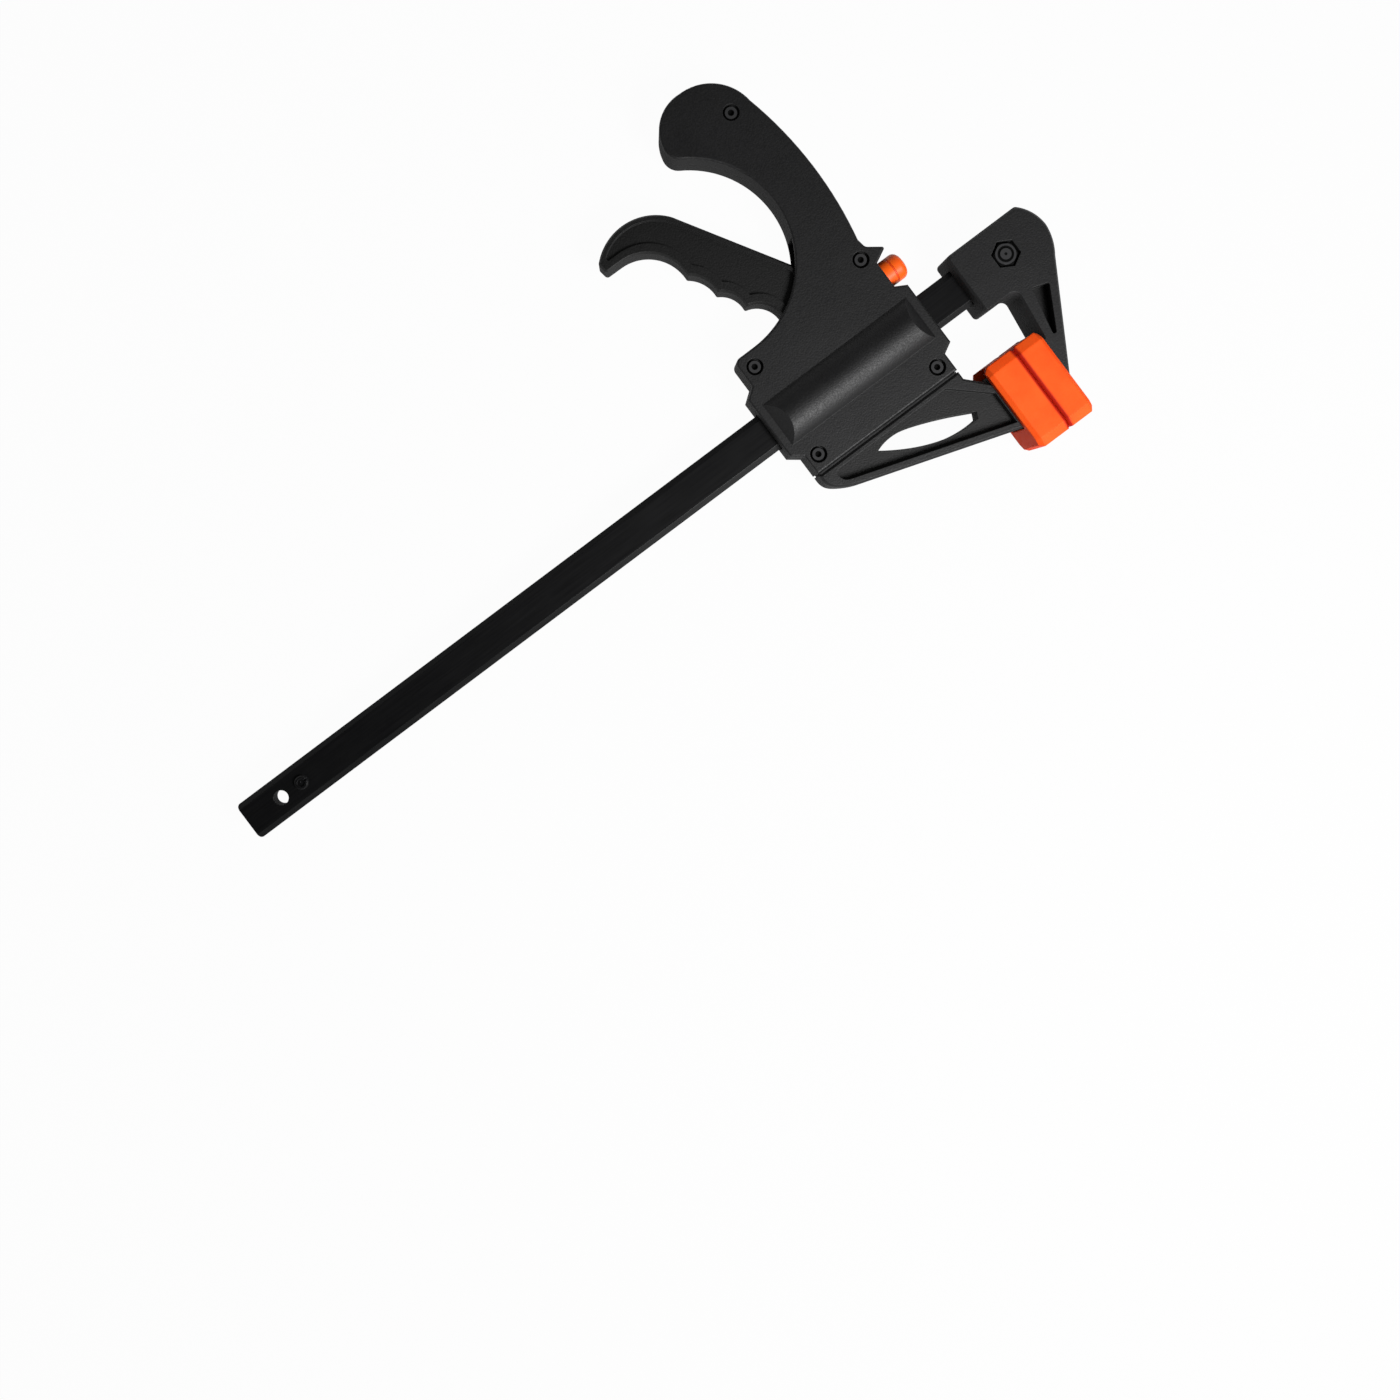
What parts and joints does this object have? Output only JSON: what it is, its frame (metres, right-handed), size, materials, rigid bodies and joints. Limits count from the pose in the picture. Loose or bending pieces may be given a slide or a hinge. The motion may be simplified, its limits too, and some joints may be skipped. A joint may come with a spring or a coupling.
{
  "type": "quick release bar clamp",
  "caption": "One-handed bar clamp: flat bevelled bar, fixed jaw, sliding pistol-grip housing with squeeze trigger, release button and slip-on jaw pads.",
  "frame": {"origin": "axis of the hole in the bar's free end, on the bar's centre line, at the middle of its thickness", "axes": "+X along the bar from the free end to the fixed jaw, +Y across the bar towards the grip, +Z through the thickness, away from the surface the clamp lies on"},
  "size_m": [0.3545, 0.1776, 0.0226],
  "materials": {
    "bar_steel": "black oxide, satin",
    "body_plastic": "fine moulded texture",
    "pad_rubber": "smooth, matte",
    "button_plastic": "smooth",
    "fastener_steel": "blackened",
    "bright_steel": "plain"
  },
  "bodies": {
    "bar": {"bar": "bar_steel", "stop_pin": "bar_steel", "fixed_jaw": "body_plastic", "fixed_jaw_pad": "pad_rubber", "jaw_bolt": "fastener_steel", "jaw_nut": "fastener_steel"},
    "housing": {"front_shell": "body_plastic", "rear_shell": "body_plastic", "housing_screws": "fastener_steel", "moving_jaw": "body_plastic", "moving_jaw_pad": "pad_rubber", "trigger_pin": "bright_steel", "drive_spring": "bright_steel", "brake_spring": "bright_steel"},
    "trigger": {"trigger": "body_plastic"},
    "drive": {"drive_plate_inner": "bright_steel", "drive_plate_outer": "bright_steel"},
    "brake": {"brake_plate_inner": "bright_steel", "brake_plate_outer": "bright_steel"},
    "button": {"release_button": "button_plastic"}
  },
  "joints": [
    {"name": "housing_slide", "type": "slide", "parent": "bar", "child": "housing", "axis": [-1, 0, 0], "range_m": [0, 0.2]},
    {"name": "trigger_squeeze", "type": "hinge", "parent": "housing", "child": "trigger", "pos_m": [0.258, 0.0265, 0], "axis": [0, 0, -1], "range_deg": [0, 20], "stiffness_Nm_per_rad": 0.6, "springref_deg": -5.73},
    {"name": "drive_step", "type": "slide", "parent": "housing", "child": "drive", "axis": [-1, 0, 0], "range_m": [0, 0.0042], "deforming": ["drive_spring"]},
    {"name": "button_press", "type": "slide", "parent": "housing", "child": "button", "axis": [-1, 0, 0], "range_m": [0, 0.0035], "stiffness_N_per_m": 600, "springref_m": -0.002},
    {"name": "brake_tilt", "type": "hinge", "parent": "housing", "child": "brake", "pos_m": [0.27, -0.0125, 0], "axis": [0, 0, 1], "range_deg": [0, 6.4], "deforming": ["brake_spring"]}
  ],
  "couplings": [
    {"joint": "drive_step", "follows": "trigger_squeeze", "m_per_rad": 0.01172},
    {"joint": "brake_tilt", "follows": "button_press", "rad_per_m": 31.65}
  ]
}
